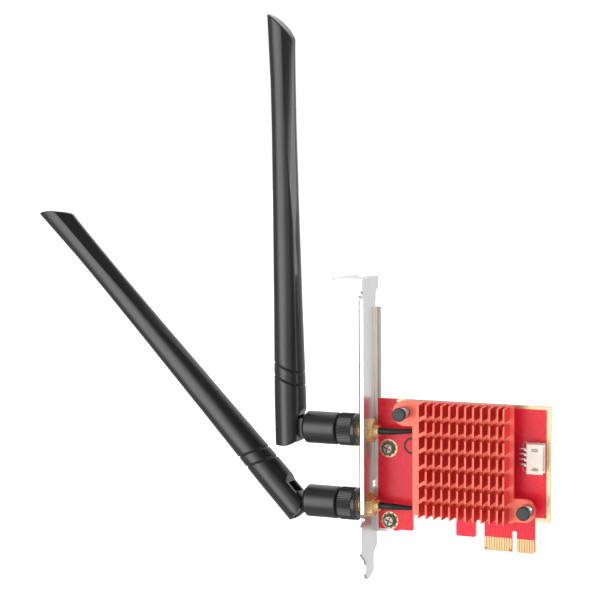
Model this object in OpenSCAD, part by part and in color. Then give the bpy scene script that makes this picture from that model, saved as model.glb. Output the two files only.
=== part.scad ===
// Wireless network card for a desktop computer: board, slot bracket, finned heatsink,
// hidden radio module, and two hinged antennas screwed to the bracket's jacks.
// X = 0 is the bracket's outer face, +X runs inward along the board.
// Y = 0 is the board's component face, -Y is the component side. Z = 0 is the edge connector's lower edge.
// Units are millimetres.

// Which node to draw

/* [Circuit board] */
// Board thickness
pcb_t = 1.6; // [1.2:0.1:2.0]
// Height of the board's top edge
pcb_top = 57.5; // [50:0.5:70]
// Right end of the board
pcb_right = 72.8; // [60:0.1:90]
// Lower edge of the wide part
pcb_shelf = 12.6; // [11:0.1:15]
// Contact pitch of the edge connector
finger_pitch = 1.0; // [0.8:0.1:1.27]
// Contact width
finger_w = 0.7; // [0.5:0.05:0.8]
// Centre of the keying notch
notch_x = 58.67; // [55:0.01:62]

/* [Bracket] */
// Sheet thickness
sheet = 0.86; // [0.7:0.01:1.2]
// Depth of the stiffening flanges
flange = 2.15; // [1.5:0.05:4]
// Depth of the top tab
tab_depth = 11.43; // [10:0.01:13]
// Height of the top tab
tab_top = 105.75; // [100:0.05:110]

/* [Heatsink] */
// Face of the base towards the board
base_back = -5.3; // [-8:0.1:-4]
// Front face of the base
base_front = -7.3; // [-10:0.1:-6]
// Front of the fins
fin_front = -14.2; // [-20:0.1:-10]
// Fin thickness
fin_t = 0.62; // [0.4:0.02:1.2]
// Distance between fins
fin_pitch = 3.15; // [2:0.05:5]
// Width of the cross cuts
cut_w = 1.72; // [1:0.02:3]

/* [Jacks] */
// Distance of the jack axes in front of the board
jack_y = -5.3; // [-8:0.1:-4]
// Height of the upper jack
jack_z1 = 45.25; // [40:0.05:50]
// Height of the lower jack
jack_z2 = 15.4; // [10:0.05:20]

/* [Antennas] */
// Hinge pin's distance outside the bracket
hinge_x = 33.65; // [30:0.05:40]
// Hinge angle of the upper antenna at rest
hinge_upper = 88.7; // [0:0.1:90]
// Hinge angle of the lower antenna at rest
hinge_lower = 45.4; // [0:0.1:90]
// Swivel angle of the upper collar at rest
swivel_upper = -0.6; // [-180:0.1:180]
// Swivel angle of the lower collar at rest
swivel_lower = -4.1; // [-180:0.1:180]
// Offset of the blade's axis from the hinge pin
blade_off = 1.2; // [0:0.1:2]
// Hinge pin radius
pin_r = 1.3; // [1:0.05:1.6]

/* [Hidden] */
screw_a = [7.24, 37.6];
screw_b = [7.7, 8.5];
push_a = [16.05, 53.4];
push_b = [65.55, 18.4];
c_pcb = [0.85, 0.12, 0.18];
c_gold = [0.86, 0.69, 0.40];
c_nickel = [0.82, 0.82, 0.81];
c_red = [0.90, 0.25, 0.20];
c_black = [0.10, 0.10, 0.10];
c_dark = [0.20, 0.21, 0.22];
c_ivory = [0.94, 0.90, 0.84];
c_brass = [0.80, 0.62, 0.32];
c_white = [0.93, 0.93, 0.92];
c_steel = [0.72, 0.73, 0.74];

module plate(y0, t) { translate([0, y0 + t, 0]) rotate([90, 0, 0]) linear_extrude(height = t) children(); }
module ybar(x, z, y0, y1, r, n = 48) { translate([x, y1, z]) rotate([90, 0, 0]) cylinder(h = y1 - y0, r = r, $fn = n); }
module ycone(x, z, y0, y1, r0, r1, n = 48) { translate([x, y0, z]) rotate([-90, 0, 0]) cylinder(h = y1 - y0, r1 = r0, r2 = r1, $fn = n); }
module xbar(x0, x1, r, n = 48) { translate([x0, 0, 0]) rotate([0, 90, 0]) cylinder(h = x1 - x0, r = r, $fn = n); }
module xcone(x0, x1, r0, r1, n = 48) { translate([x0, 0, 0]) rotate([0, 90, 0]) cylinder(h = x1 - x0, r1 = r0, r2 = r1, $fn = n); }
module box(a, b) { translate(a) cube([b[0] - a[0], b[1] - a[1], b[2] - a[2]]); }
module rod(a, b, r0, r1, n = 32) {
  d = b - a; l = norm(d);
  translate(a) rotate([0, acos(d[2] / l), atan2(d[1], d[0])]) cylinder(h = l, r1 = r0, r2 = r1, $fn = n);
}
module upper_jack() { translate([0, jack_y, jack_z1]) children(); }
module lower_jack() { translate([0, jack_y, jack_z2]) children(); }

// ---- circuit board ----
module board_outline() {
  difference() {
    polygon([[2.87, pcb_top], [pcb_right, pcb_top], [pcb_right, pcb_shelf], [66.9, pcb_shelf], [66.9, 0.7], [66.2, 0],
      [47.35, 0], [46.65, 0.7], [46.65, pcb_shelf], [43.2, pcb_shelf], [43.2, 5.15], [42.7, 4.65], [35.7, 4.65], [35.2, 5.15],
      [35.2, pcb_shelf], [17.55, pcb_shelf], [17.55, 5.5], [17.05, 5.0], [11.3, 5.0], [11.2, 4.45], [9.2, 4.45], [9.1, 5.0], [3.37, 5.0], [2.87, 5.5]]);
    translate([notch_x - 0.95, -1]) square([1.9, 8.45]);
    translate([notch_x, 7.45]) circle(r = 0.95, $fn = 32);
  }
}
module pcb() {
  color(c_pcb) difference() {
    plate(0, pcb_t) board_outline();
    ybar(screw_a[0], screw_a[1], -1, 3, 1.65);
    ybar(screw_b[0], screw_b[1], -1, 3, 1.65);
    ybar(push_a[0], push_a[1], -1, 3, 1.55);
    ybar(push_b[0], push_b[1], -1, 3, 1.55);
  }
}
function finger_x(i) = i < 11 ? 47.17 + i * finger_pitch : 60.17 + (i - 11) * finger_pitch;
module edge_contacts() {
  color(c_gold) for (i = [0:17]) {
    box([finger_x(i) - finger_w / 2, -0.04, (i == 0 || i == 10) ? 1.2 : 0.3], [finger_x(i) + finger_w / 2, 0, 5.4]);
    box([finger_x(i) - finger_w / 2, pcb_t, 0.3], [finger_x(i) + finger_w / 2, pcb_t + 0.04, (i == 16) ? 3.6 : 5.4]);
  }
}
module board_plating() {
  color(c_gold) {
    plate(-0.04, 0.04) polygon([[10.6, 56.3], [71.2, 56.3], [71.2, 14.3], [66.9, 14.3], [66.9, pcb_shelf], [pcb_right, pcb_shelf], [pcb_right, pcb_top], [11.2, pcb_top]]);
    difference() { ybar(screw_a[0], screw_a[1], -0.04, 0, 3.7); ybar(screw_a[0], screw_a[1], -1, 1, 1.75); }
    difference() { ybar(screw_b[0], screw_b[1], -0.04, 0, 3.55); ybar(screw_b[0], screw_b[1], -1, 1, 1.75); }
  }
}

// ---- bracket ----
module bracket_outline() {
  polygon([[-12.1, tab_top], [6.1, tab_top], [6.1, 101.2], [3.9, 100.2], [3.5, 99.4], [3.1, 96], [3.1, 94], [3.92, 93.2],
    [3.92, -2.0], [3.5, -2.9], [1.9, -3.8], [0.15, -5.4], [-0.35, -8.2], [0.1, -11.2], [-0.4, -12.4], [-1.7, -13.2], [-5.75, -14.1], [-7.4, -14.27],
    [-8.6, -13.3], [-9.35, -11.7], [-8.7, -8.3], [-9.6, -6.4], [-12.4, -4.4], [-14.1, -2.9], [-14.2, -2.2], [-13.6, -0.3], [-13.5, 7.7], [-13.2, 8.2],
    [-10.2, 9.9], [-10.2, 10.6], [-14.5, 12.4], [-14.5, 97.4], [-14.1, 98.6], [-13.2, 99.2], [-11.2, 99.4], [-11.9, 100.8], [-12.1, 102]]);
}
module bracket() {
  color(c_nickel) difference() {
    union() {
      rotate([90, 0, 90]) linear_extrude(height = sheet) bracket_outline();
      rotate([90, 0, 90]) linear_extrude(height = flange) polygon([[-14.5, 13.2], [-13.64, 13.2], [-13.64, 98.3], [-14.1, 98.6], [-14.5, 97.4]]);
      // rounded lip along the solder side
      translate([0, 0, 3.4]) linear_extrude(height = 90.2)
        polygon(concat([[0, 1.7]], [for (i = [0:8]) [1.6 + 1.2 * sin(i * 11.25), 2.9 - 1.2 * cos(i * 11.25)]], [[2.8, 3.92], [0, 3.92]]));
      translate([0, 0, tab_top - sheet]) linear_extrude(height = sheet)
        polygon([[sheet, -12.1], [-10.9, -12.1], [-tab_depth, -11.5], [-tab_depth, 3.1], [-10.6, 5.3], [-8.6, 6.1], [sheet, 6.1]]);
      box([0.2, 1.6, 32.6], [11.2, 2.46, 42.4]);
      box([0.2, 1.6, 3.6], [11.2, 2.46, 13.4]);
    }
    translate([-7.75, 0.8, tab_top - 3]) cube([4.4, 8, 6]);
    translate([-5.55, 0.8, tab_top - 3]) cylinder(h = 6, r = 2.2, $fn = 40);
    upper_jack() xbar(-1, 2, 3.2);
    lower_jack() xbar(-1, 2, 3.2);
    translate([-1, 0, 0]) rotate([90, 0, 90]) linear_extrude(height = 4) union() {
      translate([-0.95, 21.9]) square([2.6, 1.9]);
      translate([0.35, 22.0]) circle(r = 1.3, $fn = 32);
      translate([0.35, 23.7]) circle(r = 1.3, $fn = 32);
    }
    // outer bend of the front flange
    translate([0, -14.5, 12]) linear_extrude(height = 86.8) difference() {
      translate([-0.5, -0.5]) square([1.4, 1.4]);
      translate([0.9, 0.9]) circle(r = 0.9, $fn = 48);
    }
    ybar(screw_a[0], screw_a[1], 1, 3, 1.45);
    ybar(screw_b[0], screw_b[1], 1, 3, 1.45);
  }
}
module board_screw(p) {
  difference() {
    union() {
      ybar(p[0], p[1], -1.15, -0.55, 2.6);
      ycone(p[0], p[1], -1.6, -1.15, 1.7, 2.6);
      ybar(p[0], p[1], -0.55, 4.2, 1.4);
    }
    translate([p[0], -1.1, p[1]]) rotate([0, 22, 0]) cube([2.9, 1.4, 0.62], center = true);
    translate([p[0], -1.1, p[1]]) rotate([0, 22, 0]) cube([0.62, 1.4, 2.9], center = true);
  }
}
module bracket_screws() { color(c_steel) { board_screw(screw_a); board_screw(screw_b); } }
module tooth_washer(p) {
  difference() {
    union() {
      ybar(p[0], p[1], -0.55, -0.04, 2.75);
      for (i = [0:9]) translate([p[0], -0.295, p[1]]) rotate([0, i * 36 + 8, 0]) translate([2.75, 0, 0]) cube([1.0, 0.3, 0.75], center = true);
    }
    ybar(p[0], p[1], -1, 1, 1.6);
  }
}
module lock_washers() { color([0.45, 0.36, 0.24]) { tooth_washer(screw_a); tooth_washer(screw_b); } }

// ---- heatsink ----
function fin_x(i) = i < 11 ? 24.22 + i * fin_pitch : 58.1;
cut_z = [51.95, 45.75, 39.45, 32.95, 26.2, 19.85];
module heatsink() {
  color(c_red) difference() {
    union() {
      plate(base_back - 2, base_back - base_front) {
        translate([19.7, 13.15]) square([40.5, 45.05]);
      }
      plate(base_back - 2, 2) { translate([16.5, 48.2]) square([4, 10]); translate([16.5, 53.2]) circle(r = 5, $fn = 64); }
      plate(base_back - 2, 2) { translate([59.5, 13.6]) square([4.7, 9]); translate([64.2, 18.1]) circle(r = 4.5, $fn = 64); }
      for (i = [0:11]) box([fin_x(i) - fin_t / 2, fin_front, 13.55], [fin_x(i) + fin_t / 2, base_front + 0.2, 57.9]);
    }
    for (z = cut_z) box([20.2, fin_front - 1, z - cut_w / 2], [59.9, base_front, z + cut_w / 2]);
    for (p = [push_a, push_b]) {
      ybar(p[0], p[1], -9, -4, 1.55);
      ybar(p[0], p[1], -9, -6.5, 2.55);
    }
  }
}
module push_pin(p) {
  color(c_dark) {
    ybar(p[0], p[1], -13.3, -12.2, 2.7);
    ycone(p[0], p[1], -13.7, -13.3, 2.2, 2.7);
    difference() {
      union() {
        ybar(p[0], p[1], -12.2, 1.6, 1.45);
        ycone(p[0], p[1], 1.6, 3.8, 1.95, 0.9);
      }
      box([p[0] - 0.3, -1, p[1] - 3], [p[0] + 0.3, 5, p[1] + 3]);
    }
  }
}
module push_pin_upper() { push_pin(push_a); }
module push_pin_lower() { push_pin(push_b); }
spring_n = 5; spring_seg = 20; spring_sides = 8;
module pin_spring(p) {
  h = 5.7 - 0.6; wr = 0.28; R = 1.95;
  steps = spring_n * spring_seg;
  pts = [for (i = [0:steps]) for (j = [0:spring_sides - 1])
    let (a = 360 * i / spring_seg, b = 360 * j / spring_sides)
    [(R + wr * cos(b)) * cos(a), (R + wr * cos(b)) * sin(a), wr * sin(b) + h * i / steps]];
  faces = concat(
    [for (i = [0:steps - 1]) for (j = [0:spring_sides - 1])
      [i * spring_sides + j, (i + 1) * spring_sides + j, (i + 1) * spring_sides + (j + 1) % spring_sides, i * spring_sides + (j + 1) % spring_sides]],
    [[for (j = [0:spring_sides - 1]) j]],
    [[for (j = [0:spring_sides - 1]) steps * spring_sides + spring_sides - 1 - j]]);
  color(c_steel) translate([p[0], -6.8, p[1]]) rotate([90, 0, 0]) polyhedron(points = pts, faces = faces, convexity = 8);
}
module pin_spring_upper() { pin_spring(push_a); }
module pin_spring_lower() { pin_spring(push_b); }

// ---- hidden radio module ----
module thermal_pad() { color([0.62, 0.66, 0.74]) box([29, -5.3, 27], [46, -4.8, 43]); }
module module_board() {
  color([0.10, 0.30, 0.16]) difference() {
    box([22, -3.3, 24], [52, -2.5, 46]);
    ybar(22, 35, -4, -2, 1.75);
    box([50, -4, 29.4], [53, -2, 30.6]);
  }
}
module module_chip() { color(c_dark) box([31, -4.4, 29], [43, -3.3, 41]); }
module module_shield() {
  color(c_steel) difference() {
    box([27.5, -4.8, 25.4], [48, -3.3, 44.6]);
    box([27.7, -4.6, 25.6], [47.8, -3, 44.4]);
  }
}
module module_jacks() {
  color(c_brass) for (z = [28, 42]) difference() {
    ybar(25, z, -4.0, -3.3, 0.95, 32);
    ybar(25, z, -5, -3.5, 0.6, 32);
  }
}
module module_socket() {
  color(c_dark) difference() {
    box([50, -4.2, 23.6], [57.6, 0, 46.4]);
    box([49, -3.3, 24], [52, -2.5, 46]);
    box([49, -5, 24.6], [50.6, -3.3, 45.4]);
  }
}
module module_standoff() {
  color(c_brass) difference() {
    translate([22.4, 0, 35]) rotate([90, 0, 0]) cylinder(h = 2.5, r = 2.7, $fn = 6);
    ybar(22.4, 35, -3, 1, 1.05, 32);
  }
}
module module_screw() {
  color(c_steel) difference() {
    union() { ybar(22.4, 35, -3.9, -3.3, 2.3, 32); ybar(22.4, 35, -3.3, -0.6, 1.0, 32); }
    translate([22.4, -3.9, 35]) cube([1.9, 0.7, 0.4], center = true);
    translate([22.4, -3.9, 35]) cube([0.4, 0.7, 1.9], center = true);
  }
}

// ---- side-entry header ----
hd_z = 37.9; hd_x0 = 64.6; hd_x1 = 70.7; hd_h = 5.0;
module header_housing() {
  color(c_ivory) difference() {
    union() {
      box([hd_x0, -hd_h, hd_z - 5.8], [hd_x1, -0.05, hd_z + 5.7]);
      box([63.7, -1.6, hd_z - 5.8], [hd_x0, -0.05, hd_z - 4.9]);
      box([63.7, -1.6, hd_z + 4.8], [hd_x0, -0.05, hd_z + 5.7]);
    }
    box([66.2, -4.3, hd_z - 4.6], [73, -0.75, hd_z + 4.6]);
    box([68.0, -3.9, hd_z + 5.1], [73, -1.2, hd_z + 8]);
    box([68.0, -3.9, hd_z - 8], [73, -1.2, hd_z - 5.2]);
    box([66.5, -6, hd_z + 2.9], [69.1, -3.9, hd_z + 4.1]);
    box([66.5, -6, hd_z - 4.5], [69.1, -3.9, hd_z - 3.3]);
    for (i = [-1.5:1:1.5]) box([63, -3.05, hd_z + i * 2 - 0.25], [67, -2.55, hd_z + i * 2 + 0.25]);
  }
}
module header_pins() {
  color(c_steel) {
    for (i = [-1.5:1:1.5]) {
      box([63.3, -3.05, hd_z + i * 2 - 0.25], [69.7, -2.55, hd_z + i * 2 + 0.25]);
      box([63.3, -3.05, hd_z + i * 2 - 0.25], [63.8, 0, hd_z + i * 2 + 0.25]);
      box([60.5, -0.4, hd_z + i * 2 - 0.25], [63.8, 0, hd_z + i * 2 + 0.25]);
    }
  }
}

// ---- jacks and pigtails ----
module jack_body() {
  color(c_brass) difference() {
    union() {
      xbar(-8.5, 3.4, 3.1);
      xbar(-1.3, 0, 4.1);
    }
    xbar(-9, 2.4, 2.3);
    xbar(-9, 4, 0.62, 32);
  }
}
module jack_body_upper() { upper_jack() jack_body(); }
module jack_body_lower() { lower_jack() jack_body(); }
module jack_insulator() {
  color(c_white) difference() {
    xbar(-6, 2.4, 2.25);
    xbar(-7, 1.9, 0.68, 32);
    xbar(-7, 4, 0.35, 32);
  }
}
module jack_insulator_upper() { upper_jack() jack_insulator(); }
module jack_insulator_lower() { lower_jack() jack_insulator(); }
module jack_contact() { color(c_gold) { xbar(-7.2, 1.9, 0.62, 32); xcone(-7.6, -7.2, 0.35, 0.62, 32); } }
module jack_contact_upper() { upper_jack() jack_contact(); }
module jack_contact_lower() { lower_jack() jack_contact(); }
module jack_washer() {
  difference() {
    union() {
      xbar(sheet, 1.26, 4.3);
      for (i = [0:15]) rotate([i * 22.5, 0, 0]) translate([1.06, 4.35, 0]) cube([0.4, 0.9, 0.7], center = true);
    }
    xbar(-1, 4, 3.2);
  }
}
module jack_washers() { color(c_brass) { upper_jack() jack_washer(); lower_jack() jack_washer(); } }
module jack_nut() {
  difference() {
    translate([1.26, 0, 0]) rotate([0, 90, 0]) rotate([0, 0, 0]) cylinder(h = 2.14, r = 4.62, $fn = 6);
    xbar(-1, 5, 3.15);
  }
}
module jack_nuts() { color(c_brass) { upper_jack() jack_nut(); lower_jack() jack_nut(); } }
module ferrule() { difference() { xbar(3.4, 5.3, 2.35); xbar(3, 6, 0.62, 32); } }
module crimp_ferrules() { color(c_gold) { upper_jack() ferrule(); lower_jack() ferrule(); } }

// a round lead swept along a smooth curve through the points p
function cr(a, b, c, d, t) = 0.5 * (2 * b + (c - a) * t + (2 * a - 5 * b + 4 * c - d) * t * t + (3 * b - a - 3 * c + d) * t * t * t);
function smooth(p, m) = concat([for (i = [0:len(p) - 2]) for (k = [0:m - 1])
  cr(i == 0 ? 2 * p[0] - p[1] : p[i - 1], p[i], p[i + 1], i == len(p) - 2 ? 2 * p[i + 1] - p[i] : p[i + 2], k / m)], [p[len(p) - 1]]);
function unit(v) = v / norm(v);
function heading(q, i) = unit(i == 0 ? q[1] - q[0] : i == len(q) - 1 ? q[i] - q[i - 1] : q[i + 1] - q[i - 1]);
function ring(c, t, r, n) = let (e1 = unit(cross(t, [0, 1, 0])), e2 = cross(t, e1)) [for (j = [0:n - 1]) c + r * cos(360 * j / n) * e1 + r * sin(360 * j / n) * e2];
module lead(q, r, n = 16) {
  s = len(q);
  pts = [for (i = [0:s - 1]) for (v = ring(q[i], heading(q, i), r, n)) v];
  polyhedron(points = pts, faces = concat(
    [for (i = [0:s - 2]) for (j = [0:n - 1]) [i * n + j, (i + 1) * n + j, (i + 1) * n + (j + 1) % n, i * n + (j + 1) % n]],
    [[for (j = [0:n - 1]) j]], [[for (j = [0:n - 1]) (s - 1) * n + n - 1 - j]]), convexity = 6);
}
sleeve_end = 18.8;
function sleeve_r(x) = x < 10 ? 1.33 : 1.33 - 0.48 * (x - 10) / (sleeve_end - 10);
module sleeve(q, n = 20) {
  s = len(q); o = s * n;
  pts = concat([for (i = [0:s - 1]) for (v = ring(q[i], heading(q, i), sleeve_r(q[i][0]), n)) v],
    [for (i = [0:s - 1]) for (v = ring(q[i], heading(q, i), 0.63, n)) v]);
  polyhedron(points = pts, faces = concat(
    [for (i = [0:s - 2]) for (j = [0:n - 1]) [i * n + j, (i + 1) * n + j, (i + 1) * n + (j + 1) % n, i * n + (j + 1) % n]],
    [for (i = [0:s - 2]) for (j = [0:n - 1]) [o + i * n + (j + 1) % n, o + (i + 1) * n + (j + 1) % n, o + (i + 1) * n + j, o + i * n + j]],
    [for (j = [0:n - 1]) [(j + 1) % n, o + (j + 1) % n, o + j, j]],
    [for (j = [0:n - 1]) [(s - 1) * n + j, o + (s - 1) * n + j, o + (s - 1) * n + (j + 1) % n, (s - 1) * n + (j + 1) % n]]), convexity = 8);
}
up_p = [[2.45, jack_y, jack_z1], [5.32, jack_y, jack_z1], [9.5, jack_y, jack_z1 + 0.02], [14.2, -4.7, 45.45], [sleeve_end, -3.9, 45.7],
  [21.8, -3.95, 45.0], [24.12, -4.25, 43.15]];
lo_p = [[2.45, jack_y, jack_z2], [5.32, jack_y, jack_z2], [9.5, jack_y, jack_z2 - 0.02], [14.2, -4.6, 15.25], [sleeve_end, -3.7, 15.2],
  [21.4, -3.4, 17.2], [22.0, -4.0, 22.2], [23.0, -4.2, 25.0], [24.24, -4.25, 26.76]];
up_q = smooth(up_p, 6);
lo_q = smooth(lo_p, 6);
cable_r = 0.57;
module heat_shrink_upper() { color(c_black) sleeve([for (i = [6:24]) up_q[i]]); }
module heat_shrink_lower() { color(c_black) sleeve([for (i = [6:24]) lo_q[i]]); }
module coax_upper() { color(c_black) lead(up_q, cable_r); }
module coax_lower() { color(c_black) lead(lo_q, cable_r); }
module coax_plugs() {
  color(c_brass) for (z = [28, 42]) difference() {
    union() { ybar(25, z, -4.95, -3.4, 1.4, 32); }
    ybar(25, z, -4.0, -3, 1.0, 32);
  }
}

// ---- antenna plugs and coupling nuts ----
module coupling_nut() {
  n = 56;
  color(c_black) difference() {
    union() {
      translate([-10.5, 0, 0]) rotate([90, 0, 90]) linear_extrude(height = 5.6)
        polygon([for (i = [0:2 * n - 1]) let (r = (i % 2 == 0) ? 6.5 : 6.28) [r * cos(180 * i / n), r * sin(180 * i / n)]]);
      xcone(-11.0, -10.5, 5.9, 6.26);
      xbar(-4.9, -4.4, 6.1);
      xbar(-4.4, -3.4, 6.45);
      xcone(-3.4, -3.1, 6.45, 6.15);
    }
    xbar(-9.2, -2, 3.18);
    xbar(-12, -2, 2.5);
    xcone(-4.4, -3.09, 3.6, 5.4);
  }
}
module coupling_nut_upper() { upper_jack() coupling_nut(); }
module coupling_nut_lower() { lower_jack() coupling_nut(); }
module antenna_plug() {
  color(c_brass) difference() {
    union() { xbar(-20, -8.5, 2.45); xbar(-9.15, -8.5, 3.1); xbar(-8.5, -7.0, 2.2); }
    xbar(-21, -6, 1.85);
  }
}
module antenna_plug_upper() { upper_jack() antenna_plug(); }
module antenna_plug_lower() { lower_jack() antenna_plug(); }
module plug_insulator() { difference() { xbar(-18, -8.0, 1.8, 32); xbar(-15, -7, 1.0, 32); } }
module plug_insulators() { color(c_white) { upper_jack() plug_insulator(); lower_jack() plug_insulator(); } }
module plug_contact() { difference() { xbar(-15, -6.2, 0.95, 32); xbar(-9, -5, 0.68, 32); } }
module plug_contacts() { color(c_gold) { upper_jack() plug_contact(); lower_jack() plug_contact(); } }

// ---- swivel collars ----
module collar() {
  color(c_black) difference() {
    union() {
      xcone(-12.0, -11.6, 6.4, 6.0);
      xbar(-24.6, -12.0, 6.4);
      xcone(-25.9, -24.6, 5.1, 6.4);
      plate(-2.95, 5.9) {
        polygon([[-25, 3.75], [-25, -3.75], [-hinge_x, -2.85], [-hinge_x, 2.85]]);
        translate([-hinge_x, 0]) circle(r = 2.85, $fn = 48);
      }
    }
    xbar(-20.5, -11, 2.5);
    ybar(-hinge_x, 0, -5, 5, pin_r + 0.05);
  }
}
module upper_swivel() { translate([0, jack_y, jack_z1]) rotate([swivel_upper, 0, 0]) children(); }
module lower_swivel() { translate([0, jack_y, jack_z2]) rotate([swivel_lower, 0, 0]) children(); }
module collar_upper() { upper_swivel() collar(); }
module collar_lower() { lower_swivel() collar(); }

// ---- hinged blades, drawn straight out along -X, then turned up by the hinge angle ----
module at_hinge(a) { translate([-hinge_x, 0, 0]) rotate([0, a, 0]) children(); }
module hinge_pin() { color(c_dark) ybar(0, 0, -5.6, 5.6, pin_r, 32); }
module hinge_pin_upper() { upper_swivel() at_hinge(hinge_upper) hinge_pin(); }
module hinge_pin_lower() { lower_swivel() at_hinge(hinge_lower) hinge_pin(); }
// the blade's section along its length: width across, thickness front to back, centre offset
function blade_w(u) = lookup(u, [[12, 12.74], [50, 11.3], [90, 10.3], [118, 9.85], [137, 10.0], [152, 10.7], [165, 11.4]]);
function blade_t(u) = lookup(u, [[12, 12.74], [50, 10.4], [90, 9.2], [118, 8.5], [137, 8.1], [152, 7.8], [165, 7.6]]);
function blade_c(u) = lookup(u, [[12, blade_off], [50, 1.3], [90, 1.4], [118, 1.45], [137, 1.5], [152, 1.4], [165, 1.25]]);
// the long flat on the front, from angle cut_a to angle cut_b, measured from the front towards the bracket's side
function cut_a(u) = lookup(u, [[12, 80], [52, 80], [62, 72], [98, 40], [130, 23], [165, 20]]);
cut_b = 82;
function oval(f, a, b, n) = pow(pow(abs(sin(f)) / a, n) + pow(abs(cos(f)) / b, n), -1 / n);
function on_oval(f, a, b, n) = let (r = oval(f, a, b, n)) [r * sin(f), -r * cos(f)];
blade_n = 48; cut_n = 6;
function blade_ring(u) = let (a = blade_w(u) / 2, b = blade_t(u) / 2, n = lookup(u, [[12, 2], [60, 2.35], [165, 2.35]]),
    f0 = cut_a(u), p0 = on_oval(f0, a, b, n), p1 = on_oval(cut_b, a, b, n))
  concat([for (i = [0:cut_n - 1]) p0 + (p1 - p0) * i / cut_n],
    [for (i = [0:blade_n - cut_n - 1]) on_oval(cut_b + (360 + f0 - cut_b) * i / (blade_n - cut_n), a, b, n)]);
// the slanted, slightly curved end of the blade
tip_start = 149; tip_rim = 0.7;
function tip_u(v) = 161.8 - 0.85 * v - 0.045 * v * v;
tip_rows = concat([for (i = [1:4]) [i / 4, 1, 0]],
  [for (i = [1:3]) [1, 1 - 0.12 * (1 - cos(i * 30)), tip_rim * sin(i * 30)]], [[1, 0.62, tip_rim], [1, 0.32, tip_rim], [1, 0.02, tip_rim]]);
function blade_row(u) = let (c = blade_c(u)) [for (q = blade_ring(u)) [-u, q[1], c + q[0]]];
function tip_row(m) = let (un = tip_start + m[0] * 12, c = blade_c(un)) [for (q = blade_ring(un)) let (v = c + q[0] * m[1])
  [-(tip_start + m[0] * (tip_u(v) - tip_rim - tip_start) + m[2]), q[1] * m[1], v]];
module blade_body() {
  rows = concat([for (u = [12, 31, 50, 53, 57, 62, 68, 74, 80, 86, 92, 98, 104, 111, 118, 124, 130, 137, 143, tip_start]) blade_row(u)],
    [for (m = tip_rows) tip_row(m)]);
  s = len(rows); n = blade_n;
  polyhedron(points = [for (r = rows) for (q = r) q], faces = concat(
    [for (i = [0:s - 2]) for (j = [0:n - 1]) [i * n + j, (i + 1) * n + j, i * n + (j + 1) % n]],
    [for (i = [0:s - 2]) for (j = [0:n - 1]) [i * n + (j + 1) % n, (i + 1) * n + j, (i + 1) * n + (j + 1) % n]],
    [[for (j = [0:n - 1]) j]], [[for (j = [0:n - 1]) (s - 1) * n + n - 1 - j]]), convexity = 4);
}
module blade() {
  color(c_black) difference() {
    union() {
      // round foot
      intersection() {
        translate([0, 0, blade_off]) xbar(-12.4, 7.5, 6.38, 64);
        plate(-8, 16) union() {
          polygon([[0, -9], [-12.4, -9], [-12.4, 9], [-7.4, 9], [-7.4, 7.6], [-5, 5.5], [0, 5.5]]);
          intersection() { circle(r = 7.5, $fn = 64); translate([0, -9]) square([7.5, 14.5]); }
          polygon([[0, -9], [5.9, -9], [6.5, -5.3], [7.1, -4.7], [7.5, -3.9], [7.5, 0], [0, 0]]);
        }
      }
      blade_body();
    }
    // slot for the collar's tongue
    plate(-3.1, 6.2) union() {
      polygon([[-4.4, -3.6], [0, -4.2], [9, -4.2], [9, 9], [-4.4, 9], [-4.4, 0]]);
      translate([5.2, -9]) square([5, 18]);
    }
    ybar(0, 0, -5.6, 5.6, pin_r + 0.01, 32);
    // tilted ring grooves
    for (u = [18.7, 23.9]) translate([-u, 0, blade_off]) rotate([0, 90 + 21, 0]) difference() {
      translate([0, 0, -0.3]) cylinder(h = 0.6, r = 9, $fn = 48);
      translate([0, 0, -1]) cylinder(h = 2, r = 5.95, $fn = 48);
    }
    // channel for the radiating strip
    box([-151, -0.4, blade_off - 2.3], [-14, 0.6, blade_off + 2.3]);
  }
}
module blade_upper() { upper_swivel() at_hinge(hinge_upper) blade(); }
module blade_lower() { lower_swivel() at_hinge(hinge_lower) blade(); }
module antenna_board() { color([0.75, 0.62, 0.30]) box([-150, -0.4, blade_off - 2.0], [-14, 0.4, blade_off + 2.0]); }
module antenna_board_upper() { upper_swivel() at_hinge(hinge_upper) antenna_board(); }
module antenna_board_lower() { lower_swivel() at_hinge(hinge_lower) antenna_board(); }

pcb();
edge_contacts();
board_plating();
bracket();
bracket_screws();
lock_washers();
heatsink();
push_pin_upper();
push_pin_lower();
pin_spring_upper();
pin_spring_lower();
thermal_pad();
module_board();
module_chip();
module_shield();
module_jacks();
module_socket();
module_standoff();
module_screw();
header_housing();
header_pins();
jack_body_upper();
jack_body_lower();
jack_insulator_upper();
jack_insulator_lower();
jack_contact_upper();
jack_contact_lower();
jack_washers();
jack_nuts();
crimp_ferrules();
heat_shrink_upper();
heat_shrink_lower();
coax_upper();
coax_lower();
coax_plugs();
coupling_nut_upper();
coupling_nut_lower();
antenna_plug_upper();
antenna_plug_lower();
plug_insulators();
plug_contacts();
collar_upper();
collar_lower();
hinge_pin_upper();
hinge_pin_lower();
blade_upper();
blade_lower();
antenna_board_upper();
antenna_board_lower();
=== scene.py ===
import math

import bmesh
import bpy
from mathutils import Matrix, Vector


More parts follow.
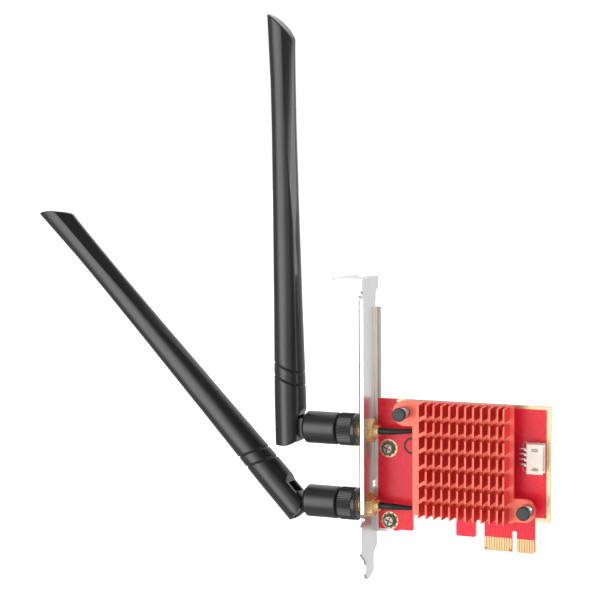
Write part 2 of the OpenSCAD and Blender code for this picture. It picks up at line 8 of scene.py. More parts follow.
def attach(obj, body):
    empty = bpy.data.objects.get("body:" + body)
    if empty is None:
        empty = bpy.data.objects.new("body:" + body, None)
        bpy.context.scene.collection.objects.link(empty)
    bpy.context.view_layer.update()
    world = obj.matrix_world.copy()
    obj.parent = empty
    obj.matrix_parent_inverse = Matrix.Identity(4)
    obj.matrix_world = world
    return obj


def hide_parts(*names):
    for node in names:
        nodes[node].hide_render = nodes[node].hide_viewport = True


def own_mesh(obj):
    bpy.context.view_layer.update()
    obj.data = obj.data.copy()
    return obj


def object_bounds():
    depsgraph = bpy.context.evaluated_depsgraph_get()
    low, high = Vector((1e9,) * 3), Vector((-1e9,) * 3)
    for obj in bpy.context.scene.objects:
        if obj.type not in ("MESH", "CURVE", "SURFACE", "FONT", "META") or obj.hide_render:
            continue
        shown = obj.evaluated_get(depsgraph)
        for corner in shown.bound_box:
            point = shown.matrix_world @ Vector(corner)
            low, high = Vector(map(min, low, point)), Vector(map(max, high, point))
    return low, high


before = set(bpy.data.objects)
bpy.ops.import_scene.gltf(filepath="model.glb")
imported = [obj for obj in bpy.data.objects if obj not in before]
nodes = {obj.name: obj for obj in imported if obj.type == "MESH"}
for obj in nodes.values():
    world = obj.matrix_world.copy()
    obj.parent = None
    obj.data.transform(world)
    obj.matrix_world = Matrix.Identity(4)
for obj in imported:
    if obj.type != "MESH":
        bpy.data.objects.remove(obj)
cad_lo, cad_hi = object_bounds()
MM = 0.001


# ------------------------------------------------------------------ camera
def make_camera():
    right = Vector((0.92309, 0.38451, -0.00779)).normalized()
    forward = Vector((-0.38359, 0.91904, -0.09073))
    forward = (forward - right * forward.dot(right)).normalized()
    up = right.cross(forward).normalized()
    cam_data = bpy.data.cameras.new("camera")
    cam_data.sensor_fit = "HORIZONTAL"
    cam_data.sensor_width = 36.0
    cam_data.lens = 1633.1 * 36.0 / 600.0
    cam_data.clip_start, cam_data.clip_end = 0.02, 20.0
    cam = bpy.data.objects.new("camera", cam_data)
    m = Matrix(((right.x, up.x, -forward.x, 0.22179),
                (right.y, up.y, -forward.y, -0.60413),
                (right.z, up.z, -forward.z, 0.15523),
                (0, 0, 0, 1)))
    cam.matrix_world = m
    bpy.context.scene.collection.objects.link(cam)
    bpy.context.scene.camera = cam
    return cam


make_camera()


# ------------------------------------------------------------------ node helpers
class Mat:
    """A small helper for building one procedural material."""

    def __init__(self, name):
        self.m = bpy.data.materials.new(name)
        self.m.use_nodes = True
        self.t = self.m.node_tree
        self.b = next(n for n in self.t.nodes if n.type == "BSDF_PRINCIPLED")
        self.geo = None

    def new(self, kind, **kw):
        n = self.t.nodes.new(kind)
        for k, v in kw.items():
            setattr(n, k, v)
        return n

    def link(self, a, b):
        self.t.links.new(a, b)

    def set(self, **kw):
        names = {"color": "Base Color", "rough": "Roughness", "metal": "Metallic", "ior": "IOR", "coat": "Coat Weight",
                 "coat_rough": "Coat Roughness", "spec": "Specular IOR Level", "sss": "Subsurface Weight", "aniso": "Anisotropic",
                 "sheen": "Sheen Weight"}
        for k, v in kw.items():
            s = self.b.inputs[names[k]]
            s.default_value = (*v, 1.0) if k == "color" else v
        return self

    def coords(self, scale=(1, 1, 1), rot=(0, 0, 0)):
        tc = self.new("ShaderNodeTexCoord")
        mp = self.new("ShaderNodeMapping")
        mp.inputs["Scale"].default_value = scale
        mp.inputs["Rotation"].default_value = rot
        self.link(tc.outputs["Object"], mp.inputs["Vector"])
        return mp.outputs["Vector"]

    def noise(self, scale, detail=4.0, rough=0.55, vec=None, stretch=(1, 1, 1)):
        n = self.new("ShaderNodeTexNoise")
        n.inputs["Scale"].default_value = scale
        n.inputs["Detail"].default_value = detail
        n.inputs["Roughness"].default_value = rough
        self.link(vec or self.coords(stretch), n.inputs["Vector"])
        return n.outputs["Fac"] if "Fac" in n.outputs else n.outputs[0]

    def ramp(self, fac, stops):
        r = self.new("ShaderNodeValToRGB")
        el = r.color_ramp.elements
        while len(el) < len(stops):
            el.new(0.5)
        for e, (p, c) in zip(el, stops):
            e.position = p
            e.color = (*c, 1.0) if len(c) == 3 else c
        self.link(fac, r.inputs["Fac"])
        return r.outputs["Color"]

    def math(self, op, a, b=0.0, clamp=False):
        n = self.new("ShaderNodeMath", operation=op, use_clamp=clamp)
        for i, v in enumerate((a, b)):
            if isinstance(v, (int, float)):
                n.inputs[i].default_value = v
            else:
                self.link(v, n.inputs[i])
        return n.outputs[0]

    def mix(self, fac, a, b):
        n = self.new("ShaderNodeMix", data_type="RGBA")
        for s, v in ((n.inputs[0], fac), (n.inputs[6], a), (n.inputs[7], b)):
            if isinstance(v, (int, float)):
                s.default_value = v
            elif isinstance(v, tuple):
                s.default_value = (*v, 1.0)
            else:
                self.link(v, s)
        return n.outputs[2]

    def normal_axis(self, axis):
        g = self.new("ShaderNodeNewGeometry")
        s = self.new("ShaderNodeSeparateXYZ")
        self.link(g.outputs["Normal"], s.inputs[0])
        return s.outputs[axis]

    def position_axis(self, axis):
        tc = self.new("ShaderNodeTexCoord")
        s = self.new("ShaderNodeSeparateXYZ")
        self.link(tc.outputs["Object"], s.inputs[0])
        return s.outputs[axis]

    def bump(self, height, strength=0.3, distance=0.00005, edge=0.0):
        n = self.new("ShaderNodeBump")
        n.inputs["Strength"].default_value = strength
        n.inputs["Distance"].default_value = distance
        self.link(height, n.inputs["Height"])
        if edge:
            bv = self.new("ShaderNodeBevel", samples=6)
            bv.inputs["Radius"].default_value = edge
            self.link(bv.outputs["Normal"], n.inputs["Normal"])
        self.link(n.outputs["Normal"], self.b.inputs["Normal"])

    def color(self, out):
        self.link(out, self.b.inputs["Base Color"])

    def rough(self, out):
        self.link(out, self.b.inputs["Roughness"])


def vary(m, base, amount, scale, stretch=(1, 1, 1), detail=4.0):
    """Base colour with a gentle light and dark variation."""
    f = m.noise(scale, detail, stretch=stretch)
    lo = tuple(max(0.0, c * (1 - amount)) for c in base)
    hi = tuple(min(1.0, c * (1 + amount)) for c in base)
    return m.ramp(f, [(0.25, lo), (0.75, hi)])


def rough_between(m, lo, hi, scale, stretch=(1, 1, 1)):
    f = m.noise(scale, 5.0, stretch=stretch)
    n = m.new("ShaderNodeMapRange")
    n.inputs["From Min"].default_value = 0.25
    n.inputs["From Max"].default_value = 0.75
    n.inputs["To Min"].default_value = lo
    n.inputs["To Max"].default_value = hi
    m.link(f, n.inputs["Value"])
    m.rough(n.outputs["Result"])


# ------------------------------------------------------------------ materials
def mat_pcb():
    m = Mat("mat_pcb")
    m.set(rough=0.36, coat=0.10, coat_rough=0.25, spec=0.30)
    ny = m.math("ABSOLUTE", m.normal_axis(1))
    face = m.math("GREATER_THAN", ny, 0.6)
    # faint copper routing seen through the solder mask
    v = m.coords((1, 1, 1))
    br = m.new("ShaderNodeTexBrick")
    br.offset = 0.5
    br.inputs["Scale"].default_value = 260.0
    br.inputs["Mortar Size"].default_value = 0.012
    br.inputs["Color1"].default_value = (0.0, 0.0, 0.0, 1)
    br.inputs["Color2"].default_value = (0.25, 0.25, 0.25, 1)
    br.inputs["Mortar"].default_value = (1, 1, 1, 1)
    sw = m.new("ShaderNodeMapping")
    sw.inputs["Rotation"].default_value = (math.pi / 2, 0, 0)
    m.link(v, sw.inputs["Vector"])
    m.link(sw.outputs["Vector"], br.inputs["Vector"])
    weave = m.noise(900.0, 2.0)
    body = m.mix(m.math("MULTIPLY", br.outputs["Color"], 0.06), (0.84, 0.018, 0.042), (0.92, 0.030, 0.060))
    tint = m.mix(m.math("MULTIPLY", weave, 0.10), body, (0.80, 0.012, 0.032))
    # straight traces running up from the edge contacts, a little darker than the mask
    px, pz = m.position_axis(0), m.position_axis(2)
    saw = m.math("FRACT", m.math("MULTIPLY", m.math("SUBTRACT", px, 0.04667), 1000.0))
    line = m.math("MULTIPLY", m.math("GREATER_THAN", saw, 0.40), m.math("LESS_THAN", saw, 0.62))
    pick = m.new("ShaderNodeTexNoise")
    pick.inputs["Scale"].default_value = 1.0
    cell = m.new("ShaderNodeCombineXYZ")
    m.link(m.math("FLOOR", m.math("MULTIPLY", m.math("SUBTRACT", px, 0.04667), 1000.0)), cell.inputs[0])
    m.link(cell.outputs[0], pick.inputs["Vector"])
    line = m.math("MULTIPLY", line, m.math("GREATER_THAN", pick.outputs[0], 0.47))
    zone = m.math("MULTIPLY", m.math("GREATER_THAN", pz, 0.0054), m.math("LESS_THAN", pz, 0.0135))
    zone = m.math("MULTIPLY", zone, m.math("GREATER_THAN", px, 0.0469))
    line = m.math("MULTIPLY", line, zone)
    tint = m.mix(m.math("MULTIPLY", line, 0.55), tint, (0.30, 0.010, 0.045))
    edge = vary(m, (0.62, 0.53, 0.36), 0.18, 3000.0, (1, 12, 1))
    face = m.math("MULTIPLY", face, m.math("GREATER_THAN", pz, 0.00035))
    m.color(m.mix(face, edge, tint))
    rough_between(m, 0.22, 0.34, 500.0)
    m.bump(m.math("ADD", m.math("MULTIPLY", br.outputs["Color"], 0.4), m.math("MULTIPLY", weave, 0.5)), 0.12, 0.00003)
    return m.m


def mat_gold(name="mat_gold", base=(0.93, 0.70, 0.36), rough=(0.2, 0.34), scale=1500.0):
    m = Mat(name)
    m.set(metal=1.0)
    m.color(vary(m, base, 0.07, scale * 0.4))
    rough_between(m, rough[0], rough[1], scale)
    m.bump(m.noise(scale * 2.5, 3.0), 0.25, 0.00002)
    return m.m


def mat_plating():
    """Gold border and pads: plated copper, paler where the light wipes across it."""
    m = Mat("mat_plating")
    m.set(metal=0.85)
    m.color(vary(m, (0.66, 0.56, 0.33), 0.14, 220.0))
    rough_between(m, 0.28, 0.45, 900.0)
    m.bump(m.noise(3500.0, 3.0), 0.3, 0.00002)
    return m.m


def mat_nickel():
    m = Mat("mat_nickel")
    # painted shade: the outside of the bend, where it faces away from the light, is coloured dark grey. Painted light:
    # the folded lip is paler, warmer and less metallic, so it shows light that it would not reflect as bare metal
    painted_bend_shade = m.math("MULTIPLY", m.math("LESS_THAN", m.normal_axis(0), -0.15), m.math("LESS_THAN", m.normal_axis(1), -0.10))
    painted_lip_light = m.math("MULTIPLY", m.math("GREATER_THAN", m.position_axis(1), 0.0016), m.math("GREATER_THAN", m.position_axis(0), 0.0009))
    painted_lip_light = m.math("MULTIPLY", painted_lip_light, m.math("LESS_THAN", m.position_axis(2), 0.0937))
    sheet = m.mix(painted_lip_light, vary(m, (0.90, 0.90, 0.89), 0.05, 90.0, (1, 1, 0.15)), (0.93, 0.87, 0.80))
    # painted shade: the lip's end, which faces along the board, is coloured dark
    painted_lip_end_shade = m.math("MULTIPLY", painted_lip_light, m.math("GREATER_THAN", m.normal_axis(0), 0.45))
    sheet = m.mix(painted_lip_end_shade, sheet, (0.36, 0.32, 0.27))
    m.color(m.mix(painted_bend_shade, sheet, (0.22, 0.22, 0.22)))
    # painted light: the lip is made less metallic, so its pale colour reads as lit
    part_metal = m.new("ShaderNodeMapRange")
    part_metal.inputs["From Min"].default_value = 0.0
    part_metal.inputs["From Max"].default_value = 1.0
    part_metal.inputs["To Min"].default_value = 1.0
    part_metal.inputs["To Max"].default_value = 0.45
    m.link(painted_lip_light, part_metal.inputs["Value"])
    m.link(part_metal.outputs["Result"], m.b.inputs["Metallic"])
    rough_between(m, 0.26, 0.38, 1400.0, (1, 1, 0.04))
    m.bump(m.noise(2600.0, 4.0, stretch=(1, 1, 0.03)), 0.25, 0.00002, edge=0.00042)
    return m.m


def mat_steel(name, base=(0.74, 0.74, 0.75), rough=(0.22, 0.38)):
    m = Mat(name)
    m.set(metal=1.0)
    m.color(vary(m, base, 0.10, 1200.0))
    rough_between(m, rough[0], rough[1], 2000.0)
    m.bump(m.noise(4000.0, 3.0), 0.25, 0.00002, edge=0.00006)
    return m.m


def mat_brass():
    m = Mat("mat_brass")
    m.set(metal=0.6, spec=0.6)
    m.color(vary(m, (0.93, 0.70, 0.36), 0.10, 900.0))
    rough_between(m, 0.18, 0.32, 1600.0)
    # turned and threaded surface: fine rings along the jack's axis
    wv = m.new("ShaderNodeTexWave", wave_type="BANDS", bands_direction="X")
    wv.inputs["Scale"].default_value = 430.0
    wv.inputs["Distortion"].default_value = 0.15
    m.link(m.coords(), wv.inputs["Vector"])
    m.bump(wv.outputs["Fac"], 0.45, 0.00008, edge=0.00008)
    return m.m


def mat_anodised():
    m = Mat("mat_anodised")
    m.set(metal=0.35, coat=0.35, coat_rough=0.4, spec=0.4)
    # painted shade: the faces that look along the board (the fins' sides) get a deep dark red and the rest a paler lit
    # red, lit and shaded copies of the anodised colour
    painted_shade_sides = m.math("GREATER_THAN", m.math("ABSOLUTE", m.normal_axis(0)), 0.75)
    m.color(m.mix(painted_shade_sides, vary(m, (0.96, 0.19, 0.125), 0.04, 260.0), vary(m, (0.70, 0.014, 0.014), 0.06, 260.0)))
    rough_between(m, 0.36, 0.50, 1200.0)
    ext = m.noise(2400.0, 3.0, stretch=(1, 1, 0.06))
    pits = m.noise(6500.0, 2.0)
    m.bump(m.math("ADD", m.math("MULTIPLY", ext, 0.6), m.math("MULTIPLY", pits, 0.4)), 0.28, 0.00003, edge=0.00009)
    return m.m


def mat_plastic(name, base, rough=(0.35, 0.5), grain=2200.0, amount=0.08, coat=0.0, strength=0.2, edge=0.00015, sss=0.0, coat_rough=0.15, spec=0.5):
    m = Mat(name)
    m.set(spec=spec, coat=coat, coat_rough=coat_rough)
    if sss:
        m.set(sss=sss)
        m.b.inputs["Subsurface Radius"].default_value = (0.0008, 0.0006, 0.0004)
        m.b.inputs["Subsurface Scale"].default_value = 1.0
    m.color(vary(m, base, amount, grain * 0.1))
    rough_between(m, rough[0], rough[1], grain * 0.5)
    m.bump(m.noise(grain, 5.0), strength, 0.00003, edge=edge)
    return m.m


def mat_knurl():
    m = Mat("mat_knurl")
    m.set(metal=0.25, spec=0.6, coat=0.3, coat_rough=0.2)
    m.color(vary(m, (0.030, 0.030, 0.031), 0.2, 900.0))
    rough_between(m, 0.26, 0.38, 1500.0)
    m.bump(m.noise(3200.0, 3.0, stretch=(0.2, 1, 1)), 0.25, 0.00003, edge=0.00008)
    return m.m


def mat_sleeve():
    """Shrink sleeve: soft wrinkles round the lead."""
    m = Mat("mat_sleeve")
    m.set(spec=0.45)
    m.color(vary(m, (0.016, 0.019, 0.020), 0.35, 700.0))
    rough_between(m, 0.30, 0.48, 900.0)
    m.bump(m.noise(900.0, 4.0, stretch=(0.5, 1, 1)), 0.6, 0.0001)
    return m.m


def mat_board(name, base):
    m = Mat(name)
    m.set(coat=0.4, coat_rough=0.2)
    br = m.new("ShaderNodeTexBrick")
    br.inputs["Scale"].default_value = 320.0
    br.inputs["Mortar Size"].default_value = 0.02
    br.inputs["Color1"].default_value = (*base, 1)
    br.inputs["Color2"].default_value = (*[c * 1.15 for c in base], 1)
    br.inputs["Mortar"].default_value = (*[min(1, c * 1.8) for c in base], 1)
    m.link(m.coords((1, 1, 1), (math.pi / 2, 0, 0)), br.inputs["Vector"])
    m.color(br.outputs["Color"])
    rough_between(m, 0.3, 0.45, 900.0)
    m.bump(m.noise(2500.0, 3.0), 0.2, 0.00003)
    return m.m


M = {
    "pcb": mat_pcb(),
    "gold": mat_gold("mat_gold", (0.60, 0.56, 0.27), (0.36, 0.50)),
    "plating": mat_plating(),
    "nickel": mat_nickel(),
    "steel": mat_steel("mat_steel"),
    "screw": mat_steel("mat_screw", (0.34, 0.31, 0.27), (0.22, 0.38)),
    "spring": mat_steel("mat_spring", (0.75, 0.75, 0.76), (0.15, 0.25)),
    "washer": mat_steel("mat_washer", (0.30, 0.22, 0.13), (0.3, 0.5)),
    "brass": mat_brass(),
    "anodised": mat_anodised(),
    "pin": mat_plastic("mat_pin", (0.036, 0.042, 0.044), (0.42, 0.55), 2600.0, 0.15, edge=0.00025),
    "ivory": mat_plastic("mat_ivory", (0.82, 0.77, 0.69), (0.38, 0.5), 2600.0, 0.04, sss=0.15),
    "white": mat_plastic("mat_white", (0.85, 0.85, 0.84), (0.4, 0.5), 2200.0, 0.03),
    "chip": mat_plastic("mat_chip", (0.022, 0.022, 0.024), (0.5, 0.62), 4200.0, 0.2),
    "antenna": mat_plastic("mat_antenna", (0.012, 0.012, 0.013), (0.36, 0.42), 900.0, 0.10, coat=0.5, coat_rough=0.09, strength=0.04, edge=0.0002, spec=0.40),
    "collar": mat_plastic("mat_collar", (0.012, 0.012, 0.013), (0.38, 0.44), 1200.0, 0.10, coat=0.3, coat_rough=0.35, strength=0.05, edge=0.0004, spec=0.65),
    "ink_dark": mat_plastic("mat_ink_dark", (0.035, 0.004, 0.006), (0.4, 0.5), 4000.0, 0.15, edge=0.0),
    "ink_pale": mat_plastic("mat_ink_pale", (0.85, 0.42, 0.46), (0.45, 0.6), 4000.0, 0.10, edge=0.0),
    "knurl": mat_knurl(),
    "sleeve": mat_sleeve(),
    "hinge": mat_steel("mat_hinge", (0.022, 0.022, 0.023), (0.45, 0.6)),
    "pad": mat_plastic("mat_pad", (0.45, 0.50, 0.62), (0.7, 0.85), 1800.0, 0.08, edge=0.0),
    "green": mat_board("mat_module", (0.03, 0.13, 0.06)),
    "strip": mat_board("mat_strip", (0.30, 0.25, 0.09)),
}

PAINT = {
    "pcb": ["pcb"], "gold": ["edge_contacts", "jack_contact_upper", "jack_contact_lower", "plug_contacts"], "plating": ["board_plating"],
    "nickel": ["bracket"], "steel": ["module_shield", "module_screw", "header_pins"], "screw": ["bracket_screws"],
    "spring": ["pin_spring_upper", "pin_spring_lower"], "washer": ["lock_washers"],
    "brass": ["jack_body_upper", "jack_body_lower", "jack_washers", "jack_nuts", "crimp_ferrules", "coax_plugs", "module_jacks",
              "module_standoff", "antenna_plug_upper", "antenna_plug_lower"],
    "anodised": ["heatsink"], "pin": ["push_pin_upper", "push_pin_lower"], "ivory": ["header_housing"],
    "white": ["jack_insulator_upper", "jack_insulator_lower", "plug_insulators"], "chip": ["module_chip", "module_socket"],
    "antenna": ["blade_upper", "blade_lower"], "collar": ["collar_upper", "collar_lower"], "knurl": ["coupling_nut_upper", "coupling_nut_lower"],
    "sleeve": ["heat_shrink_upper", "heat_shrink_lower", "coax_upper", "coax_lower"], "hinge": ["hinge_pin_upper", "hinge_pin_lower"],
    "pad": ["thermal_pad"], "green": ["module_board"], "strip": ["antenna_board_upper", "antenna_board_lower"],
}
for key, names in PAINT.items():
    for n in names:
        o = nodes[n]
        if not o.material_slots:
            o.data.materials.append(M[key])
        for s in o.material_slots:
            s.material = M[key]
left = sorted(set(nodes) - {n for ns in PAINT.values() for n in ns})
if left:
    raise RuntimeError("no material for " + ", ".join(left))


# ------------------------------------------------------------------ fine antenna blades
JACK_Y = -5.3
HINGE_X = 33.65
BLADE_OFF = 1.2


def look(u, table):
    if u <= table[0][0]:
        return table[0][1]
    for (u0, v0), (u1, v1) in zip(table, table[1:]):
        if u <= u1:
            return v0 + (v1 - v0) * (u - u0) / (u1 - u0)
    return table[-1][1]


def blade_w(u):
    return look(u, [(12, 12.74), (50, 11.3), (90, 10.3), (118, 9.85), (137, 10.0), (152, 10.7), (165, 11.4)])


def blade_t(u):
    return look(u, [(12, 12.74), (50, 10.4), (90, 9.2), (118, 8.5), (137, 8.1), (152, 7.8), (165, 7.6)])


def blade_c(u):
    return look(u, [(12, BLADE_OFF), (50, 1.3), (90, 1.4), (118, 1.45), (137, 1.5), (152, 1.4), (165, 1.25)])


CUT_B = 82.0
N_CUT = 18
N_ALL = 96


def cut_a(u):
    return look(u, [(12, 80), (52, 80), (62, 72), (98, 40), (130, 23), (165, 20)])


def oval(f, a, b, n):
    f = math.radians(f)
    r = (abs(math.sin(f) / a) ** n + abs(math.cos(f) / b) ** n) ** (-1 / n)
    return r * math.sin(f), -r * math.cos(f)


def blade_ring(u):
    """(v, y) points round the blade: a long flat from cut_a to CUT_B, the rest oval."""
    a, b, n = blade_w(u) / 2 - 0.01, blade_t(u) / 2 - 0.01, look(u, [(12, 2.0), (60, 2.35)])
    f0 = cut_a(u)
    p0, p1 = oval(f0, a, b, n), oval(CUT_B, a, b, n)
    pts = []
    for i in range(N_CUT):
        t = i / N_CUT
        q = oval(f0 + (CUT_B - f0) * t, a, b, n)
        flat = (p0[0] + (p1[0] - p0[0]) * t, p0[1] + (p1[1] - p0[1]) * t)
        k = 0.30
        pts.append((flat[0] + k * (q[0] - flat[0]), flat[1] + k * (q[1] - flat[1])))
    m = N_ALL - N_CUT
    for i in range(m):
        pts.append(oval(CUT_B + (360 + f0 - CUT_B) * i / m, a, b, n))
    return pts


def groove(u, v):
    d = 0.0
    for g in (18.7, 23.9):
        x = (u - (g - 0.383 * (v - BLADE_OFF))) / 0.30
        d += 0.50 * math.exp(-x * x) if abs(x) < 4 else 0.0
    return d


def tip_u(v):
    return 161.8 - 0.85 * v - 0.045 * v * v


def blade_rows():
    rows = []
    us = [-7.6, -5, -2, 1, 4, 7, 10, 12, 13.5, 15]
    us += [15 + 0.14 * i for i in range(1, 97)]
    us += [30, 35, 40, 45, 50, 52, 54, 56, 58, 60, 62, 65, 68, 71, 74, 77, 80, 83, 86, 89, 92, 95, 98]
    us += [98 + 3 * i for i in range(1, 17)] + [148, 149]
    for u in us:
        c = blade_c(u)
        row = []
        for q0, q1 in blade_ring(u):
            r = math.hypot(q0, q1)
            k = (r - groove(u, c + q0)) / r if 15 < u < 30 else 1.0
            row.append((-u, q1 * k, c + q0 * k))
        rows.append(row)
    start, rim = 149.0, 0.7
    tips = [(i / 6, 1.0, 0.0) for i in range(1, 7)]
    tips += [(1, 1 - 0.12 * (1 - math.cos(math.radians(i * 15))), rim * math.sin(math.radians(i * 15))) for i in range(1, 6)]
    tips += [(1, k, rim) for k in (0.88, 0.8, 0.7, 0.6, 0.5, 0.4, 0.3, 0.2, 0.1, 0.02)]
    for s0, k, h in tips:
        un = start + s0 * 12
        c = blade_c(un)
        row = []
        for q0, q1 in blade_ring(un):
            v = c + q0 * k
            row.append((-(start + s0 * (tip_u(v) - rim - start) + h), q1 * k, v))
        rows.append(row)
    return rows


def closed_mesh(name, rows):
    n = len(rows[0])
    verts = [tuple(x * MM for x in p) for r in rows for p in r]
    faces = []
    for i in range(len(rows) - 1):
        for j in range(n):
            k = (j + 1) % n
            faces.append((i * n + j, i * n + k, (i + 1) * n + k, (i + 1) * n + j))
    faces.append(tuple(reversed(range(n))))
    faces.append(tuple((len(rows) - 1) * n + j for j in range(n)))
    me = bpy.data.meshes.new(name)
    me.from_pydata(verts, [], faces)
    bm = bmesh.new()
    bm.from_mesh(me)
    bmesh.ops.recalc_face_normals(bm, faces=bm.faces)
    bm.to_mesh(me)
    bm.free()
    return me


def prism(name, outline, y0, y1):
    """A closed solid: an outline in x and z drawn through from y0 to y1."""
    n = len(outline)
    verts = [(x * MM, y * MM, z * MM) for y in (y0, y1) for x, z in outline]
    faces = [tuple(range(n)), tuple(reversed(range(n, 2 * n)))] + [(i, n + i, n + (i + 1) % n, (i + 1) % n) for i in range(n)]
    me = bpy.data.meshes.new(name)
    me.from_pydata(verts, [], faces)
    bm = bmesh.new()
    bm.from_mesh(me)
    bmesh.ops.recalc_face_normals(bm, faces=bm.faces)
    bm.to_mesh(me)
    bm.free()
    return me


def temp(me):
    o = bpy.data.objects.new(me.name, me)
    bpy.context.scene.collection.objects.link(o)
    return o


def baked(o):
    dg = bpy.context.evaluated_depsgraph_get()
    me = bpy.data.meshes.new_from_object(o.evaluated_get(dg))
    return me


def crease(me, degrees):
    """Smooth shading with the sharp edges kept."""
    bm = bmesh.new()
    bm.from_mesh(me)
    for f in bm.faces:
        f.smooth = True
    lim = math.radians(degrees)
    for e in bm.edges:
        e.smooth = not (len(e.link_faces) == 2 and e.calc_face_angle(0.0) > lim)
    bm.to_mesh(me)
    bm.free()


def arc(cx, cz, r, a0, a1, n):
    return [(cx + r * math.cos(math.radians(a0 + (a1 - a0) * i / n)), cz + r * math.sin(math.radians(a0 + (a1 - a0) * i / n))) for i in range(n + 1)]


def make_blade_mesh():
    body = temp(closed_mesh("blade_body", blade_rows()))
    # round foot: everything nearer the collar than the hinge's circle is cut off, and a step clears the collar
    foot = [(-200, -9), (5.6, -9), (6.2, -5.35), (6.75, -5.0), (7.15, -4.5), (7.4, -3.8), (7.48, -3.0)]
    foot += [(x, z) for x, z in arc(0, 0, 7.48, 0, 46, 12) if z < 5.35]
    foot += [(5.1, 5.5), (-5, 5.5), (-7.4, 7.6), (-7.4, 12), (-200, 12)]
    keep = temp(prism("foot", foot, -9, 9))
    slot = temp(prism("slot", [(-4.4, -3.6), (0, -4.2), (9, -4.2), (9, 9), (-4.4, 9)], -3.1, 3.1))
    hole = temp(prism("hole", arc(0, 0, 1.31, 0, 348.75, 31), -5.65, 5.65))
    for op, tool in (("INTERSECT", keep), ("DIFFERENCE", slot), ("DIFFERENCE", hole)):
        md = body.modifiers.new("cut", "BOOLEAN")
        md.operation = op
        md.object = tool
        md.solver = "EXACT"
    bv = body.modifiers.new("edge", "BEVEL")
    bv.width = 0.28 * MM
    bv.segments = 3
    bv.limit_method = "ANGLE"
    bv.angle_limit = math.radians(48)
    bv.use_clamp_overlap = True
    me = baked(body)
    for o in (body, keep, slot, hole):
        bpy.data.objects.remove(o)
    crease(me, 40)
    return me


def place_blade(which, me, hinge, swivel, z):
    ob = bpy.data.objects.new("fine_blade_" + which, me)
    bpy.context.scene.collection.objects.link(ob)
    mx = (Matrix.Translation((0, JACK_Y * MM, z * MM)) @ Matrix.Rotation(math.radians(swivel), 4, "X")
          @ Matrix.Translation((-HINGE_X * MM, 0, 0)) @ Matrix.Rotation(math.radians(hinge), 4, "Y"))
    me.transform(mx)
    me.materials.clear()
    me.materials.append(M["antenna"])
    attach(ob, "antenna_" + which)
    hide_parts("blade_" + which)
    return ob


blade_mesh = make_blade_mesh()
place_blade("upper", blade_mesh.copy(), 88.7, -0.6, 45.25)
place_blade("lower", blade_mesh.copy(), 45.4, -4.1, 15.4)


# ------------------------------------------------------------------ print on the board
def make_print():
    """A plain ring and a bracket-shaped line round the header, printed on the solder mask."""
    verts, faces = [], []

    def band(points, width, y=-0.018, th=0.014):
        n = len(points)
        base = len(verts)
        for i, (x, z) in enumerate(points):
            x0, z0 = points[max(0, i - 1)]
            x1, z1 = points[min(n - 1, i + 1)]
            dx, dz = x1 - x0, z1 - z0
            ln = math.hypot(dx, dz) or 1.0
            nx, nz = -dz / ln * width / 2, dx / ln * width / 2
            for k, yy in ((1, y), (-1, y), (-0.92, y - th), (0.92, y - th)):
                verts.append(((x + nx * k) * MM, yy * MM, (z + nz * k) * MM))
        for i in range(n - 1):
            for k in range(4):
                a, b2 = base + i * 4 + k, base + i * 4 + (k + 1) % 4
                faces.append((a, b2, b2 + 4, a + 4))
        faces.append((base + 3, base + 2, base + 1, base))
        e = base + (n - 1) * 4
        faces.append((e, e + 1, e + 2, e + 3))

    ring = arc(17.0, 39.1, 2.95, 0, 360, 72)
    band(ring, 0.9)
    me = bpy.data.meshes.new("board_ring")
    me.from_pydata(verts, [], faces)
    ob = bpy.data.objects.new("board_ring", me)
    bpy.context.scene.collection.objects.link(ob)
    me.materials.append(M["ink_dark"])
    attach(ob, "card")
    verts.clear()
    faces.clear()
    for s in (1, -1):
        zc = 37.85 + s * 5.2
        band([(62.2, zc - s * 1.9), (61.9, zc - s * 1.1), (62.0, zc - s * 0.2), (62.5, zc + s * 0.4), (63.3, zc + s * 0.75), (64.2, zc + s * 0.8)], 0.22)
    me = bpy.data.meshes.new("header_outline")
    me.from_pydata(verts, [], faces)
    ob = bpy.data.objects.new("header_outline", me)
    bpy.context.scene.collection.objects.link(ob)
    me.materials.append(M["ink_pale"])
    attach(ob, "card")


make_print()


# ------------------------------------------------------------------ light and floor
def area(name, loc, target, size, power, color=(1, 1, 1)):
    d = bpy.data.lights.new(name, "AREA")
    d.shape = "RECTANGLE"
    d.size, d.size_y = size
    d.energy = power
    d.color = color
    o = bpy.data.objects.new(name, d)
    o.location = loc
    o.rotation_mode = "QUATERNION"
    o.rotation_quaternion = (Vector(target) - Vector(loc)).to_track_quat("-Z", "Y")
    bpy.context.scene.collection.objects.link(o)
    return o


def around(az, el, d, c):
    """A point d metres from c, az degrees from the front towards the right, el degrees up."""
    a, e = math.radians(az), math.radians(el)
    return (c[0] + d * math.cos(e) * math.sin(a), c[1] - d * math.cos(e) * math.cos(a), c[2] + d * math.sin(e))


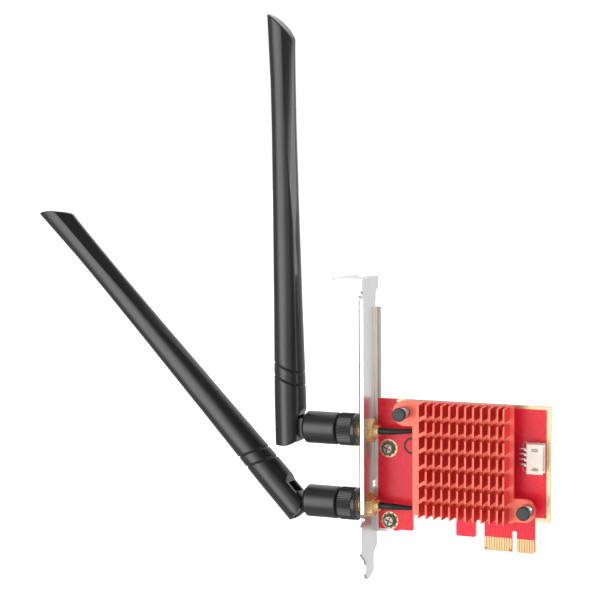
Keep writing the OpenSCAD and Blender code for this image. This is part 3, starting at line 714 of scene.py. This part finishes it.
def make_stage():
    me = bpy.data.meshes.new("floor")
    z = cad_lo.z - 0.0004
    me.from_pydata([(-6, -6, z), (6, -6, z), (6, 6, z), (-6, 6, z)], [], [(0, 1, 2, 3)])
    o = bpy.data.objects.new("floor", me)
    bpy.context.scene.collection.objects.link(o)
    m = Mat("mat_floor")
    m.set(rough=0.9, spec=0.1)
    m.color(vary(m, (0.80, 0.80, 0.80), 0.01, 3.0))
    m.b.inputs["Emission Color"].default_value = (1, 1, 1, 1)
    m.b.inputs["Emission Strength"].default_value = 0.80
    me.materials.append(m.m)
    o.visible_shadow = False
    o.visible_glossy = False
    w = bpy.data.worlds.new("studio")
    bpy.context.scene.world = w
    w.use_nodes = True
    t = w.node_tree
    t.nodes.clear()
    out = t.nodes.new("ShaderNodeOutputWorld")
    mix = t.nodes.new("ShaderNodeMixShader")
    path = t.nodes.new("ShaderNodeLightPath")
    soft = t.nodes.new("ShaderNodeBackground")
    white = t.nodes.new("ShaderNodeBackground")
    white.inputs["Color"].default_value = (1, 1, 1, 1)
    white.inputs["Strength"].default_value = 1.02
    tc = t.nodes.new("ShaderNodeTexCoord")
    up = t.nodes.new("ShaderNodeVectorMath")
    up.operation = "DOT_PRODUCT"
    t.links.new(tc.outputs["Generated"], up.inputs[0])
    up.inputs[1].default_value = (-0.25, 0.60, 0.76)
    rng = t.nodes.new("ShaderNodeMapRange")
    rng.interpolation_type = "SMOOTHSTEP"
    rng.inputs["From Min"].default_value = 0.62
    rng.inputs["From Max"].default_value = 0.97
    rng.inputs["To Min"].default_value = WORLD_LOW
    rng.inputs["To Max"].default_value = WORLD_TOP
    t.links.new(up.outputs["Value"], rng.inputs["Value"])
    # the side from which the picture is taken is dark
    dot = t.nodes.new("ShaderNodeVectorMath")
    dot.operation = "DOT_PRODUCT"
    t.links.new(tc.outputs["Generated"], dot.inputs[0])
    dot.inputs[1].default_value = (0.55, -0.68, 0.48)
    dark = t.nodes.new("ShaderNodeMapRange")
    dark.interpolation_type = "SMOOTHSTEP"
    dark.inputs["From Min"].default_value = 0.30
    dark.inputs["From Max"].default_value = 0.72
    dark.inputs["To Min"].default_value = 1.0
    dark.inputs["To Max"].default_value = 0.20
    t.links.new(dot.outputs["Value"], dark.inputs["Value"])
    level = t.nodes.new("ShaderNodeMath")
    level.operation = "MULTIPLY"
    t.links.new(rng.outputs["Result"], level.inputs[0])
    t.links.new(dark.outputs["Result"], level.inputs[1])
    soft.inputs["Color"].default_value = (1, 1, 1, 1)
    t.links.new(level.outputs[0], soft.inputs["Strength"])
    t.links.new(path.outputs["Is Camera Ray"], mix.inputs[0])
    t.links.new(soft.outputs[0], mix.inputs[1])
    t.links.new(white.outputs[0], mix.inputs[2])
    t.links.new(mix.outputs[0], out.inputs["Surface"])
    c = (0.0, 0.0, 0.06)
    # a soft box with soft edges: three panels, one behind the other
    for i, (wide, high, power) in enumerate(((0.45, 1.2, 1.9), (0.9, 1.3, 4.0), (1.4, 1.5, 5.4))):
        area("key_%d" % i, around(-32, 0, 1.4 + 0.02 * i, c), c, (wide, high), power)
    area("strip", (1.19, 0.19, 0.50), (0.0, 0.0, 0.30), (0.83, 0.95), 9.5)
    area("broad", around(-10, 0, 1.50, c), c, (2.4, 1.8), 9.0)
    area("fill", around(78, 2, 1.42, c), c, (0.5, 1.2), 3.4)
    area("back", around(157, -6, 1.3, c), c, (1.1, 1.3), 1.8)


WORLD_LOW = 0.34
WORLD_TOP = 1.3
make_stage()
scene = bpy.context.scene
scene.view_settings.view_transform = "Standard"
scene.view_settings.look = "None"
scene.view_settings.exposure = 0.0

# each push pin's spring gets its own copy of its mesh
for which in ("upper", "lower"):
    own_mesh(bpy.data.objects["pin_spring_" + which])
